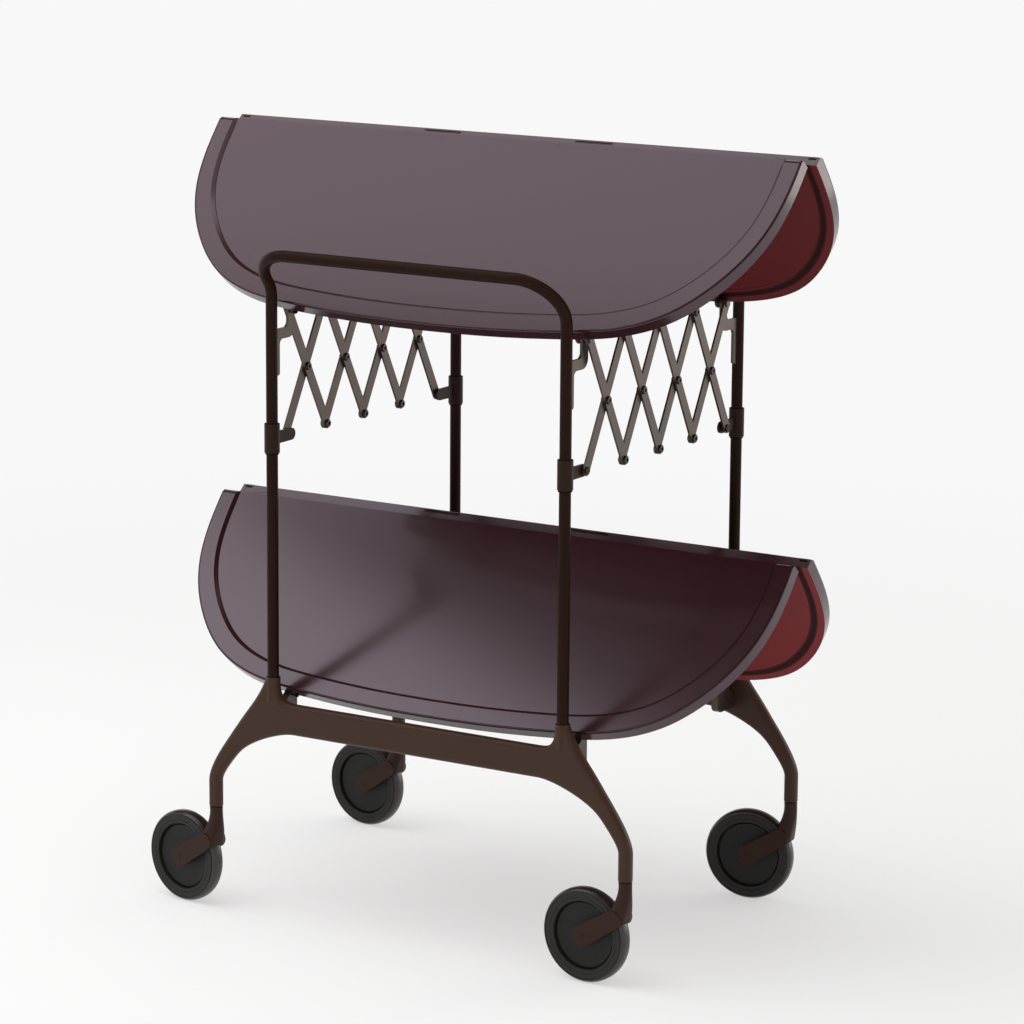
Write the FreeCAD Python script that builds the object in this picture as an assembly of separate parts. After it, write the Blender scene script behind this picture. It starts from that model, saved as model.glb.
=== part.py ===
import FreeCAD, Part
import math
import os

# Folding serving trolley, in millimetres, stood on the floor and partly folded.
# X runs along the ridge, Y is the folding direction (front is minus Y), Z is up.

os.makedirs("parts", exist_ok=True)

# uprights and handles
tubeRadius = 6.0
tubeWall = 1.2
uprightX = 175.0
uprightBendHeight = 667.0
handleLean = 40.0
handleLeanRadius = 26.0
handleRise = 11.0
handleCornerRadius = 40.0

# linkage at rest
foldTilt = 50.0
pivotReach = 213.0
pivotRise = 4.5
pivotInset = 33.3
upperPivotHeight = 642.5
lowerPivotHeight = 239.5
runningFit = 0.08
bodyGap = 0.35

# trays
trayHalfLength = 348.0
trayOverhang = 13.0
trayRidgeGap = 1.0
trayUnderRise = 11.2
trayThickness = 14.5
trayRimWidth = 18.0
trayRimHeight = 3.0
trayRimSlope = 3.5
trayRimEnd = 5.0
trayFloorThickness = 5.0
trayRidgeRibWidth = 12.0
trayOuterRound = 2.0
trayOutlineShares = [(1.0, 0.0), (0.997, 0.2), (0.977, 0.385), (0.938, 0.535), (0.87, 0.69),
                     (0.765, 0.838), (0.611, 0.935), (0.44, 0.972), (0.22, 0.994), (0.0, 1.0)]

# tray ears
earThickness = 3.0
earBossRadius = 5.6
earFlangeThickness = 1.8
earFlangeWidth = 13.0
earFlangeBefore = 10.0
earFlangeAfter = 5.0
earWaist = 4.2
earInset = 5.0
pinRadius = 2.5
pinHeadRadius = 4.2
pinHeadThickness = 1.2

# ridge hinges
hingeX = 91.0
hingeWidth = 45.0
hingeBarrelRadius = 4.0
hingePinRadius = 2.0
hingeLeafThickness = 2.0
hingeLeafStart = 1.4
hingeLeafEnd = 12.6
hingeWebThickness = 3.2
hingeKnuckleGap = 0.4
hingeMiddleShare = 0.48
hingeSlotInset = 3.4
hingeSlotWidth = 1.8
hingeSlotDepth = 4.0

# upper brackets, measured inboard of the upright and up from the pivot
bracketThickness = 3.0
bracketBossRadius = 5.6
bracketPlateTop = -18.7
bracketPlateBottom = -29.8
bracketInnerCorner = 6.0
bracketOuterCorner = 10.5
bracketTailBottom = -67.0
bracketTailWidth = 6.4
bracketTailCorner = 5.5
bracketTailRound = 3.0

# lower brackets
blockThickness = 8.0
blockTopHalfWidth = 3.0
blockTopSlope = 40.0
blockOffset = 1.2
blockBottom = -34.0
blockCornerRadius = 8.0

# lattice
cellCount = 4
latticeHeight = 131.0
latticeOffset = 5.0
barWidth = 11.0
barThickness = 2.2
barGap = 0.4
rivetHeadRadius = 4.0
rivetHeadThickness = 1.0

# sleeves
sleeveRadius = 8.0
sleeveLength = 31.5
sleeveChamfer = 1.6
sleeveEarThickness = 3.0
sleeveEarBossRadius = 6.2
sleeveEarRoot = 13.0

# cast lower frames
castDepth = 13.0
castRound = 5.4
castRoundShare = 0.05
socketRise = 21.5
socketDrop = 25.5
socketRadius = 7.5
plateInset = 0.7
beamTopDrop = 4.5
beamBottomDrop = 37.0
beamCornerInset = 29.0
castorSpread = 74.0
postRadius = 7.0
postLength = 27.0
footInset = 28.0
legOuterShares = [(0.0, 0.0), (0.11, 0.155), (0.37, 0.345), (0.56, 0.51), (1.0, 0.876), (1.0, 1.0)]
legInnerShares = [(0.0, 0.0), (0.0, 0.1), (0.16, 0.4), (0.325, 0.717), (0.83, 1.0), (1.0, 1.0)]
beamCornerShares = [(0.0, 0.0), (0.0, 0.37), (0.14, 0.86), (0.52, 1.0), (1.0, 1.0)]
curveDegree = 3

# castors
wheelRadius = 48.75
wheelWidth = 16.0
wheelRound = 3.0
castorTrail = 45.0
castorYawAngles = {"front_left": -9.0, "front_right": -3.0, "back_left": -5.0, "back_right": 8.0}
stemRadius = 4.0
stemLength = 24.0
castorHeadroom = 14.5
washerThickness = 1.25
washerRadius = 5.6
forkBodyLength = 50.0
forkReach = 18.0
forkStep = 0.8
forkArmThickness = 3.2
armHubRadius = 10.8
armTopRadius = 9.5
armTopTrail = 8.3
armTopDrop = 38.0
forkWheelClearance = 1.6
# each row: depth below the fork's top, edge away from the wheel, edge by the wheel, width, squareness of the section
forkRowShares = [(0.0, 1.0, 0.0, 0.0, 1.0), (0.18, 1.0, 0.0, 0.0, 1.0), (0.37, 0.93, 0.12, 0.35, 0.85),
                 (0.6, 0.7, 0.42, 0.85, 0.6), (1.0, 0.35, 1.1, 1.0, 0.5)]
forkSectionPoints = 16
armClearance = 0.8
discRadius = 35.0
discThickness = 9.0
hubRadius = 10.0
hubClearance = 0.35
axleRadius = 3.5

# values that follow from the ones above
tilt = math.radians(foldTilt)
pivotY = pivotReach * math.cos(tilt) + pivotRise * math.sin(tilt)
frameY = pivotY + pivotInset
trayDepth = pivotReach + trayOverhang
earX = uprightX - earInset
blockX = uprightX + blockOffset
latticeX = uprightX + latticeOffset
socketTop = lowerPivotHeight + socketRise
socketFloor = lowerPivotHeight - socketDrop
beamTop = lowerPivotHeight - beamTopDrop
beamBottom = lowerPivotHeight - beamBottomDrop
beamCornerX = uprightX - beamCornerInset
footInnerX = uprightX - footInset
castorX = uprightX + castorSpread
postBottom = 2 * wheelRadius + castorHeadroom
postBendHeight = postBottom + postLength
forkTop = postBottom - bodyGap - washerThickness
armTopHeight = forkTop - armTopDrop
ridgeAbovePivot = pivotReach * math.sin(tilt) - pivotRise * math.cos(tilt)
trayUnderside = trayUnderRise
trayTop = trayUnderside + trayThickness
trayFloorTop = trayTop - trayRimHeight
trayFloorUnder = trayFloorTop - trayFloorThickness
cellPitch = 2 * pivotY / cellCount
barLength = math.hypot(cellPitch, latticeHeight)
sleeveHeight = upperPivotHeight - latticeHeight
wheelHalf = wheelWidth / 2
armInner = wheelHalf + armClearance
armOuter = armInner + forkArmThickness


def vec(x, y, z):
    return FreeCAD.Vector(x, y, z)


def box(x0, x1, y0, y1, z0, z1):
    return Part.makeBox(x1 - x0, y1 - y0, z1 - z0, vec(x0, y0, z0))


def rodAlongX(radius, x0, x1, y, z):
    return Part.makeCylinder(radius, x1 - x0, vec(x0, y, z), vec(1, 0, 0))


def rodAlongY(radius, y0, y1, x, z):
    return Part.makeCylinder(radius, y1 - y0, vec(x, y0, z), vec(0, 1, 0))


def rodAlongZ(radius, z0, z1, x, y):
    return Part.makeCylinder(radius, z1 - z0, vec(x, y, z0), vec(0, 0, 1))


def spline(points):
    curve = Part.BSplineCurve()
    curve.interpolate(points)
    return curve.toShape()


# A smooth curve pulled toward its points, that starts and ends along its first and last pair.
def pulledCurve(points):
    curve = Part.BSplineCurve()
    curve.buildFromPoles(points, False, curveDegree)
    return curve.toShape()


def alongShares(shares, start, end):
    return [(start[0] + (end[0] - start[0]) * a, start[1] + (end[1] - start[1]) * b) for a, b in shares]


def faceOf(edges):
    return Part.Face(Part.Wire(Part.__sortEdges__(edges)))


def mirroredX(shape):
    return shape.mirror(vec(0, 0, 0), vec(1, 0, 0))


def mirroredY(shape):
    return shape.mirror(vec(0, 0, 0), vec(0, 1, 0))


# A closed outline in the plane x = const: each corner is (y, z, radius of its rounding).
def roundedOutline(corners, x):
    ends = []
    count = len(corners)
    for i, (y, z, radius) in enumerate(corners):
        here = vec(x, y, z)
        before = (vec(x, *corners[i - 1][:2]) - here).normalize()
        after = (vec(x, *corners[(i + 1) % count][:2]) - here).normalize()
        halfAngle = before.getAngle(after) / 2
        setback = radius / math.tan(halfAngle)
        bisector = (before + after).normalize()
        middle = here + bisector * (radius / math.sin(halfAngle) - radius)
        ends.append((here + before * setback, middle, here + after * setback, radius))
    edges = []
    for i, (entry, middle, leave, radius) in enumerate(ends):
        if radius > 0:
            edges.append(Part.Arc(entry, middle, leave).toShape())
        edges.append(Part.makeLine(leave, ends[(i + 1) % count][0]))
    return faceOf(edges)


def oneSolid(shape):
    cleaned = shape.removeSplitter()
    if len(cleaned.Solids) == 1:
        return cleaned.Solids[0]
    return cleaned


def save(name, shape):
    shape.exportStep("parts/" + name + ".step")


# A tray half is drawn flat: X along the ridge, minus Y away from the ridge, Z up from the hinge axis.
def trayOutline(halfLength, depth, ridgeY, z):
    right = [vec(halfLength * a, ridgeY - depth * b, z) for a, b in trayOutlineShares]
    left = [vec(-point.x, point.y, point.z) for point in reversed(right[:-1])]
    ridge = Part.makeLine(left[-1], right[0])
    return faceOf([spline(right + left), ridge])


# The hollow above the floor. Its wall leans outward, from the floor up past the rim.
def trayWell():
    sections = []
    for level, inset in ((trayFloorTop, trayRimWidth + trayRimSlope), (trayTop + trayRimHeight, trayRimWidth - trayRimSlope)):
        outline = trayOutline(trayHalfLength - inset, trayDepth - inset, -trayRidgeGap, level)
        sections.append(outline.OuterWire)
    return Part.makeLoft(sections, True, True)


def trayPanel():
    body = trayOutline(trayHalfLength, trayDepth, -trayRidgeGap, trayUnderside)
    body = body.extrude(vec(0, 0, trayThickness))
    outerTop = [edge for edge in body.Edges
                if edge.BoundBox.ZMin > trayTop - bodyGap and edge.BoundBox.YMin < -trayDepth / 2]
    body = body.makeFillet(trayOuterRound, outerTop)
    body = body.cut(trayWell())
    rimEnd = [(-trayRidgeGap, trayFloorTop), (-trayRidgeGap - trayRimEnd, trayTop),
              (-trayRidgeGap - trayRimEnd, trayTop + trayRimHeight), (trayRimWidth, trayTop + trayRimHeight),
              (trayRimWidth, trayFloorTop)]
    body = body.cut(bracketOutline(rimEnd, trayHalfLength * 3, 0))
    slotBack = -trayRidgeGap - hingeSlotInset
    slot = box(hingeX - hingeWidth / 2, hingeX + hingeWidth / 2, slotBack - hingeSlotWidth, slotBack,
               trayFloorTop - hingeSlotDepth, trayTop)
    body = body.cut(slot).cut(mirroredX(slot))
    floorLength = trayHalfLength - trayRimWidth
    floorDepth = trayDepth - trayRimWidth
    under = trayOutline(floorLength, floorDepth - trayRidgeRibWidth, -trayRidgeGap - trayRidgeRibWidth, 0)
    return body.cut(under.extrude(vec(0, 0, trayFloorUnder)))


def trayEar():
    pin = vec(0, -pivotReach, pivotRise)
    half = earThickness / 2
    boss = rodAlongX(earBossRadius, earX - half, earX + half, pin.y, pin.z)
    waist = box(earX - half, earX + half, pin.y - earWaist, pin.y + earWaist, pin.z, trayUnderside)
    flangeInner = earX + half - earFlangeWidth
    flange = box(flangeInner, earX + half, -pivotReach - earFlangeAfter, -pivotReach + earFlangeBefore,
                 trayUnderside - earFlangeThickness, trayUnderside)
    hole = rodAlongX(pinRadius + runningFit, earX - earFlangeWidth, earX + earFlangeWidth, pin.y, pin.z)
    ear = boss.fuse([waist, flange]).cut(hole)
    return oneSolid(ear)


def knuckleSpans(leaf):
    middle = hingeWidth * hingeMiddleShare / 2
    outer = hingeWidth / 2
    if leaf == "middle":
        return [(hingeX - middle, hingeX + middle)]
    return [(hingeX - outer, hingeX - middle - hingeKnuckleGap), (hingeX + middle + hingeKnuckleGap, hingeX + outer)]


# Leaf drawn on the minus Y side of the hinge axis.
def hingeLeaf(leaf, bore):
    under = trayUnderside - hingeLeafThickness
    shapes = [box(hingeX - hingeWidth / 2, hingeX + hingeWidth / 2, -hingeLeafEnd, -hingeLeafStart, under, trayUnderside)]
    for x0, x1 in knuckleSpans(leaf):
        shapes.append(rodAlongX(hingeBarrelRadius, x0, x1, 0, 0))
        shapes.append(box(x0, x1, -hingeLeafStart - hingeWebThickness, -hingeLeafStart, 0, under))
    fused = shapes[0].fuse(shapes[1:])
    fused = fused.cut(rodAlongX(bore, hingeX - hingeWidth, hingeX + hingeWidth, 0, 0))
    return oneSolid(fused)


def hingePin():
    x0 = hingeX - hingeWidth / 2
    x1 = hingeX + hingeWidth / 2
    head = rodAlongX(hingeBarrelRadius, x1, x1 + pinHeadThickness, 0, 0)
    tail = rodAlongX(hingeBarrelRadius, x0 - pinHeadThickness, x0, 0, 0)
    return oneSolid(rodAlongX(hingePinRadius, x0, x1, 0, 0).fuse([head, tail]))


def bothSides(shape):
    return Part.makeCompound([shape, mirroredX(shape)])


# Tilts a flat tray part about the hinge axis and lifts it to its ridge.
def hungAtRidge(shape, ridgeHeight, back):
    hung = shape.copy()
    if back:
        hung = mirroredY(hung)
    turn = -foldTilt if back else foldTilt
    hung.rotate(vec(0, 0, 0), vec(1, 0, 0), turn)
    hung.translate(vec(0, 0, ridgeHeight))
    return hung


def leanPoint(x, rise):
    lean = math.radians(handleLean)
    return vec(x, -frameY - rise * math.sin(lean), uprightBendHeight + rise * math.cos(lean))


# The bend centre line: upright, lean arc, handle corner, handle bar, and back down.
def handlePath():
    lean = math.radians(handleLean)
    setback = handleLeanRadius * math.tan(lean / 2)
    edges = []
    corner = vec(uprightX, -frameY, uprightBendHeight)
    before = vec(uprightX, -frameY, uprightBendHeight - setback)
    after = leanPoint(uprightX, setback)
    centre = vec(uprightX, -frameY - handleLeanRadius, uprightBendHeight - setback)
    arcMiddle = centre + (corner - centre).normalize() * handleLeanRadius
    straight = handleRise
    barRise = straight + handleCornerRadius
    bendEnd = leanPoint(uprightX - handleCornerRadius, barRise)
    bendStart = leanPoint(uprightX, straight)
    bendCentre = leanPoint(uprightX - handleCornerRadius, straight)
    diagonal = leanPoint(uprightX, barRise) - bendCentre
    bendMiddle = bendCentre + diagonal.normalize() * handleCornerRadius
    foot = vec(uprightX, -frameY, socketFloor)
    edges.append(Part.makeLine(foot, before))
    edges.append(Part.Arc(before, arcMiddle, after).toShape())
    edges.append(Part.makeLine(after, bendStart))
    edges.append(Part.Arc(bendStart, bendMiddle, bendEnd).toShape())
    mirrored = [mirroredX(edge) for edge in edges]
    bar = Part.makeLine(bendEnd, vec(-bendEnd.x, bendEnd.y, bendEnd.z))
    return Part.Wire(Part.__sortEdges__(edges + [bar] + mirrored))


def handleTube():
    path = handlePath()
    foot = vec(uprightX, -frameY, socketFloor)
    outer = Part.Wire([Part.makeCircle(tubeRadius, foot, vec(0, 0, 1))])
    inner = Part.Wire([Part.makeCircle(tubeRadius - tubeWall, foot, vec(0, 0, 1))])
    tube = path.makePipeShell([outer], True, False)
    hollow = path.makePipeShell([inner], True, False)
    return tube.cut(hollow)


def legOutline(depthY):
    socketHalf = socketRadius - plateInset
    postHalf = postRadius
    socketOuter = (uprightX + socketHalf, socketTop - plateInset)
    socketInner = (uprightX - socketHalf, socketTop - plateInset)
    postOuter = (castorX + postHalf, postBendHeight)
    postInner = (castorX - postHalf, postBendHeight)
    outerLeg = [vec(x, depthY, z) for x, z in alongShares(legOuterShares, socketOuter, postOuter)]
    innerLeg = [vec(x, depthY, z) for x, z in alongShares(legInnerShares, postInner, (footInnerX, beamBottom))]
    corner = [vec(x, depthY, z) for x, z in alongShares(beamCornerShares, socketInner, (beamCornerX, beamTop))]
    footOuter = vec(postOuter[0], depthY, postBottom)
    footInner = vec(postInner[0], depthY, postBottom)
    edges = [Part.makeLine(corner[0], outerLeg[0]), pulledCurve(outerLeg), Part.makeLine(outerLeg[-1], footOuter),
             Part.makeLine(footOuter, footInner), Part.makeLine(footInner, innerLeg[0]), pulledCurve(innerLeg),
             pulledCurve(corner)]
    mirrored = [mirroredX(edge) for edge in edges]
    edges.append(Part.makeLine(innerLeg[-1], vec(-innerLeg[-1].x, depthY, beamBottom)))
    edges.append(Part.makeLine(corner[-1], vec(-corner[-1].x, depthY, beamTop)))
    return faceOf(edges + mirrored)


def castFrame():
    start = -frameY - castDepth / 2
    plate = legOutline(start).extrude(vec(0, castDepth, 0))
    rounded = [edge for edge in plate.Edges if edge.BoundBox.YLength < bodyGap
               and max(edge.BoundBox.XLength, edge.BoundBox.ZLength) > socketRadius * 2]
    body = plate.makeFillet(min(castRound, (socketTop - postBendHeight) * castRoundShare), rounded)
    for side in (1, -1):
        body = body.fuse(rodAlongZ(socketRadius, beamTop, socketTop, side * uprightX, -frameY))
    for side in (1, -1):
        body = body.cut(rodAlongZ(tubeRadius + runningFit, socketFloor, socketTop, side * uprightX, -frameY))
        bore = rodAlongZ(stemRadius + runningFit, postBottom, postBottom + stemLength + bodyGap, side * castorX, -frameY)
        body = body.cut(bore)
    return oneSolid(body)


def bracketOutline(points, thickness, x):
    edges = []
    for start, end in zip(points, points[1:] + points[:1]):
        edges.append(Part.makeLine(vec(x - thickness / 2, start[0], start[1]), vec(x - thickness / 2, end[0], end[1])))
    return faceOf(edges).extrude(vec(thickness, 0, 0))


# Steps the pivot pin outward from its plate through the bar in the given layer.
def outboardPin(plateOuter, barInner, barOuter, y, z):
    shoulder = rodAlongX(rivetHeadRadius, plateOuter, barInner - bodyGap, y, z)
    shaft = rodAlongX(pinRadius, plateOuter, barOuter + bodyGap + rivetHeadThickness, y, z)
    head = rodAlongX(rivetHeadRadius, barOuter + bodyGap, barOuter + bodyGap + rivetHeadThickness, y, z)
    return shoulder.fuse([shaft, head])


def inboardPin(plateInner, y, z):
    tip = earX - earThickness / 2 - bodyGap
    shaft = rodAlongX(pinRadius, tip, plateInner, y, z)
    head = rodAlongX(pinHeadRadius, tip - pinHeadThickness, tip, y, z)
    collar = rodAlongX(pinHeadRadius, earX + earThickness / 2 + bodyGap, plateInner, y, z)
    return shaft.fuse([head, collar])


def layerSpan(layer):
    if layer == "outer":
        return latticeX + barGap / 2, latticeX + barGap / 2 + barThickness
    return latticeX - barGap / 2 - barThickness, latticeX - barGap / 2


# The bracket on the right upright of the front frame. Its pivot carries the lattice and the tray.
def upperBracket(layer):
    pinY = -pivotY
    rootY = -frameY
    x0 = uprightX - bracketThickness / 2
    armNear = pinY - bracketBossRadius
    armFar = pinY + bracketBossRadius
    tailEdge = rootY + tubeRadius + bracketTailWidth
    plateTop = upperPivotHeight + bracketPlateTop
    plateBottom = upperPivotHeight + bracketPlateBottom
    tailEnd = upperPivotHeight + bracketTailBottom
    outline = roundedOutline([(armNear, upperPivotHeight, 0), (armNear, plateTop, bracketInnerCorner),
                              (rootY, plateTop, 0), (rootY, tailEnd, 0), (tailEdge, tailEnd, bracketTailRound),
                              (tailEdge, plateBottom, bracketTailCorner), (armFar, plateBottom, bracketOuterCorner),
                              (armFar, upperPivotHeight, 0)], x0)
    plate = outline.extrude(vec(bracketThickness, 0, 0))
    boss = rodAlongX(bracketBossRadius, x0, x0 + bracketThickness, pinY, upperPivotHeight)
    tube = rodAlongZ(tubeRadius, socketFloor, uprightBendHeight, uprightX, rootY)
    barInner, barOuter = layerSpan(layer)
    plate = plate.fuse(boss).cut(tube)
    outboard = outboardPin(x0 + bracketThickness, barInner, barOuter, pinY, upperPivotHeight)
    inboard = inboardPin(x0, pinY, upperPivotHeight)
    return oneSolid(plate.fuse([outboard, inboard]))


# The block on the cast frame that carries the lower tray's ear.
def lowerBracket():
    slope = math.radians(blockTopSlope)
    pinY = -pivotY
    rootY = -frameY + castDepth / 2
    topAtPin = blockTopHalfWidth / math.cos(slope)
    topRoot = topAtPin - (pinY - rootY) * math.tan(slope)
    edgeY = pinY + bracketBossRadius
    outline = [(rootY, lowerPivotHeight + topRoot), (pinY, lowerPivotHeight + topAtPin), (edgeY, lowerPivotHeight),
               (edgeY, lowerPivotHeight + blockBottom), (rootY, lowerPivotHeight + blockBottom)]
    block = bracketOutline(outline, blockThickness, blockX)
    x0 = blockX - blockThickness / 2
    corner = [edge for edge in block.Edges if edge.BoundBox.ZMax < lowerPivotHeight + blockBottom + bodyGap
              and edge.BoundBox.YMin > edgeY - bodyGap]
    block = block.makeFillet(blockCornerRadius, corner)
    boss = rodAlongX(bracketBossRadius, x0, x0 + blockThickness, pinY, lowerPivotHeight)
    return oneSolid(block.fuse([boss, inboardPin(x0, pinY, lowerPivotHeight)]))


# Sleeve on the right upright of the front frame, with the ear and the pin of the lattice's lowest corner.
def sleeve(layer):
    half = sleeveLength / 2
    z0 = sleeveHeight - half
    z1 = sleeveHeight + half
    barrel = rodAlongZ(sleeveRadius, z0, z1, uprightX, -frameY)
    lowerRim = [edge for edge in barrel.Edges if edge.BoundBox.ZMax < z0 + bodyGap]
    barrel = barrel.makeChamfer(sleeveChamfer, lowerRim)
    pinY = -pivotY
    x0 = uprightX - sleeveEarThickness / 2
    root = sleeveEarRoot / 2
    tip = sleeveEarBossRadius
    web = bracketOutline([(-frameY, sleeveHeight - root), (pinY, sleeveHeight - tip),
                          (pinY, sleeveHeight + tip), (-frameY, sleeveHeight + root)], sleeveEarThickness, uprightX)
    boss = rodAlongX(sleeveEarBossRadius, x0, x0 + sleeveEarThickness, pinY, sleeveHeight)
    barInner, barOuter = layerSpan(layer)
    pin = outboardPin(x0 + sleeveEarThickness, barInner, barOuter, pinY, sleeveHeight)
    body = barrel.fuse([web, boss, pin])
    return oneSolid(body.cut(rodAlongZ(tubeRadius + runningFit, z0, z1, uprightX, -frameY)))


# One flat bar of a right-hand lattice. A falling bar lies outboard and carries the rivets of its crossings.
def latticeBar(cell, falling):
    y0 = -pivotY + cell * cellPitch
    y1 = y0 + cellPitch
    zTop = upperPivotHeight
    zLow = sleeveHeight
    start = vec(0, y0, zTop if falling else zLow)
    end = vec(0, y1, zLow if falling else zTop)
    x0, x1 = layerSpan("outer" if falling else "inner")
    half = barWidth / 2
    slope = math.degrees(math.atan2(end.z - start.z, end.y - start.y))
    plate = box(x0, x1, 0, barLength, -half, half)
    plate.rotate(vec(0, 0, 0), vec(1, 0, 0), slope)
    plate.translate(vec(0, start.y, start.z))
    ends = [rodAlongX(half, x0, x1, start.y, start.z), rodAlongX(half, x0, x1, end.y, end.z)]
    body = plate.fuse(ends)
    middle = (start + end) * 0.5
    centre = cellCount / 2
    otherInner, otherOuter = layerSpan("inner")
    tail = otherInner - bodyGap
    for place, column in ((start, cell), (middle, -1), (end, cell + 1)):
        onFrame = column in (0, cellCount)
        if falling and not onFrame:
            head = rodAlongX(rivetHeadRadius, x1, x1 + rivetHeadThickness, place.y, place.z)
            body = body.fuse(head)
            if column != centre:
                shaft = rodAlongX(pinRadius, tail, x1, place.y, place.z)
                foot = rodAlongX(rivetHeadRadius, tail - rivetHeadThickness, tail, place.y, place.z)
                body = body.fuse([shaft, foot])
        elif not falling and column == centre:
            body = body.fuse(rodAlongX(rivetHeadRadius, x0 - rivetHeadThickness, x0, place.y, place.z))
        else:
            body = body.cut(rodAlongX(pinRadius + runningFit, x0 - barWidth, x1 + barWidth, place.y, place.z))
    return oneSolid(body)


# One level section of the fork's body: a circle at the top that squares off and widens downward.
def forkSection(depth, backShare, frontShare, widthShare, roundShare):
    back = postRadius * backShare
    front = -postRadius - forkReach * frontShare
    halfLength = (back - front) / 2
    halfWidth = postRadius + (armOuter - forkStep - postRadius) * widthShare
    points = []
    for i in range(forkSectionPoints):
        turn = 2 * math.pi * i / forkSectionPoints
        along = math.copysign(abs(math.cos(turn)) ** roundShare, math.cos(turn))
        across = math.copysign(abs(math.sin(turn)) ** roundShare, math.sin(turn))
        points.append(vec((back + front) / 2 + halfLength * along, halfWidth * across, forkTop - depth * forkBodyLength))
    curve = Part.BSplineCurve()
    curve.interpolate(points, PeriodicFlag=True)
    return Part.Wire([curve.toShape()])


# Where the two straight edges of the arm touch its hub end and its top end.
def armTangent(radius, x, z, turn):
    return vec(x + radius * math.cos(turn), 0, z + radius * math.sin(turn))


def forkArm():
    run = castorTrail - armTopTrail
    rise = armTopHeight - wheelRadius
    slope = math.atan2(rise, run)
    spread = math.acos((armHubRadius - armTopRadius) / math.hypot(run, rise))
    hub = (armHubRadius, -castorTrail, wheelRadius)
    top = (armTopRadius, -armTopTrail, armTopHeight)
    hubUp, hubEnd, hubLow = [armTangent(*hub, turn) for turn in (slope + spread, slope + math.pi, slope - spread)]
    topUp, topEnd, topLow = [armTangent(*top, turn) for turn in (slope + spread, slope, slope - spread)]
    face = faceOf([Part.Arc(hubUp, hubEnd, hubLow).toShape(), Part.makeLine(hubLow, topLow),
                   Part.Arc(topLow, topEnd, topUp).toShape(), Part.makeLine(topUp, hubUp)])
    return face.extrude(vec(0, forkArmThickness, 0)), hubLow, topLow


def castorFork():
    body = Part.makeLoft([forkSection(*row) for row in forkRowShares], True, False)
    clear = rodAlongY(wheelRadius + forkWheelClearance, -armInner, armInner, -castorTrail, wheelRadius)
    arm, hubLow, topLow = forkArm()
    slope = math.degrees(math.atan2(topLow.z - hubLow.z, topLow.x - hubLow.x))
    below = box(-castorTrail, castorTrail * 2, -castorTrail, castorTrail, -castorTrail, 0)
    below.rotate(vec(0, 0, 0), vec(0, 1, 0), -slope)
    below.translate(hubLow)
    body = body.cut(clear).cut(below)
    for y0 in (-armOuter, armInner):
        side = arm.copy()
        side.translate(vec(0, y0, 0))
        body = body.fuse(side)
    stem = rodAlongZ(stemRadius, forkTop - bodyGap, postBottom + stemLength, 0, 0)
    washer = rodAlongZ(washerRadius, forkTop, postBottom - bodyGap, 0, 0)
    axle = rodAlongY(axleRadius, -armOuter, armOuter, -castorTrail, wheelRadius)
    return oneSolid(body.fuse([stem, washer, axle]))


def castorTyre():
    ring = rodAlongY(wheelRadius, -wheelHalf, wheelHalf, -castorTrail, wheelRadius)
    rims = [edge for edge in ring.Edges if edge.BoundBox.YLength < bodyGap]
    ring = ring.makeFillet(wheelRound, rims)
    return ring.cut(rodAlongY(discRadius, -wheelHalf, wheelHalf, -castorTrail, wheelRadius))


def castorDisc():
    half = discThickness / 2
    hub = wheelHalf + armClearance - hubClearance
    disc = rodAlongY(discRadius, -half, half, -castorTrail, wheelRadius)
    disc = disc.fuse(rodAlongY(hubRadius, -hub, hub, -castorTrail, wheelRadius))
    return oneSolid(disc.cut(rodAlongY(axleRadius + runningFit, -hub, hub, -castorTrail, wheelRadius)))


def castorAt(shape, corner, x, y):
    placed = shape.copy()
    placed.rotate(vec(0, 0, 0), vec(0, 0, 1), castorYawAngles[corner])
    placed.translate(vec(x, y, 0))
    return placed


# frames
tube = handleTube()
casting = castFrame()
save("front_tube", tube)
save("back_tube", mirroredY(tube))
save("front_casting", casting)
save("back_casting", mirroredY(casting))

# The falling bars lie outboard on the right and inboard on the left, so the left lattice is the right one moved over.
sides = (("right", 1), ("left", -1))
block = lowerBracket()
for end, back in (("front", False), ("back", True)):
    for side, sign in sides:
        # A frame pivot holds a falling bar at the front and a rising one at the back.
        falling = not back
        outboardIsFalling = sign > 0
        upperLayer = "outer" if falling == outboardIsFalling else "inner"
        lowerLayer = "inner" if upperLayer == "outer" else "outer"
        pieces = {"upper_bracket": upperBracket(upperLayer), "lower_bracket": block, "sleeve": sleeve(lowerLayer)}
        for name, shape in pieces.items():
            placed = mirroredY(shape) if back else shape
            placed = mirroredX(placed) if sign < 0 else placed
            save(end + "_" + side + "_" + name, placed)

# lattices
for side, sign in sides:
    for cell in range(cellCount):
        for name, falling in (("falling", True), ("rising", False)):
            bar = latticeBar(cell, falling)
            if sign < 0:
                bar.translate(vec(-2 * latticeX, 0, 0))
            save(side + "_" + name + "_bar_" + str(cell + 1), bar)

# trays
panel = trayPanel()
ears = bothSides(trayEar())
outerLeaves = bothSides(hingeLeaf("outer", hingePinRadius))
middleLeaves = bothSides(hingeLeaf("middle", hingePinRadius + runningFit))
pins = bothSides(hingePin())
for level, pivotHeight in (("upper", upperPivotHeight), ("lower", lowerPivotHeight)):
    ridge = pivotHeight + ridgeAbovePivot
    for end, back in (("front", False), ("back", True)):
        save(level + "_tray_" + end, hungAtRidge(panel, ridge, back))
        save(level + "_ears_" + end, hungAtRidge(ears, ridge, back))
    save(level + "_leaves_front", hungAtRidge(outerLeaves, ridge, False))
    save(level + "_leaves_back", hungAtRidge(middleLeaves, ridge, True))
    save(level + "_ridge_pins", hungAtRidge(pins, ridge, False))

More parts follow.
